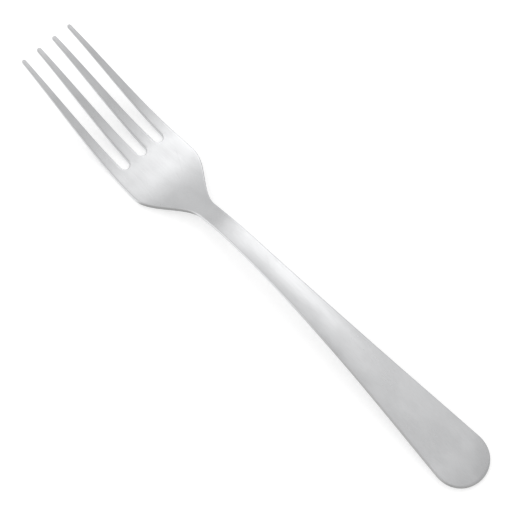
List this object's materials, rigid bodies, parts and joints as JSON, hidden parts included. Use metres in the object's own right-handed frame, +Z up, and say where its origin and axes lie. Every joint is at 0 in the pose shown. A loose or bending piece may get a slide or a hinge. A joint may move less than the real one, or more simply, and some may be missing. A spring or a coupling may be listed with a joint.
{
  "type": "dinner fork",
  "caption": "Plain dinner fork with tapering tines, round shoulders, a slim arched neck and a crowned handle with a round end, for spearing and lifting food.",
  "frame": {"origin": "on the surface that the fork lies on, under the middle of its length and width", "axes": "+X along the fork's middle line from the handle's end to the tips, +Z up out of the hollow side, +Y across"},
  "size_m": [0.184, 0.0242, 0.014],
  "materials": {
    "steel": "satin-polished stainless steel with a fine lengthwise grain, and duller ground edges"
  },
  "bodies": {
    "root": {"handle": "steel", "neck": "steel", "head": "steel", "tine_1": "steel", "tine_2": "steel", "tine_3": "steel", "tine_4": "steel"}
  },
  "joints": []
}
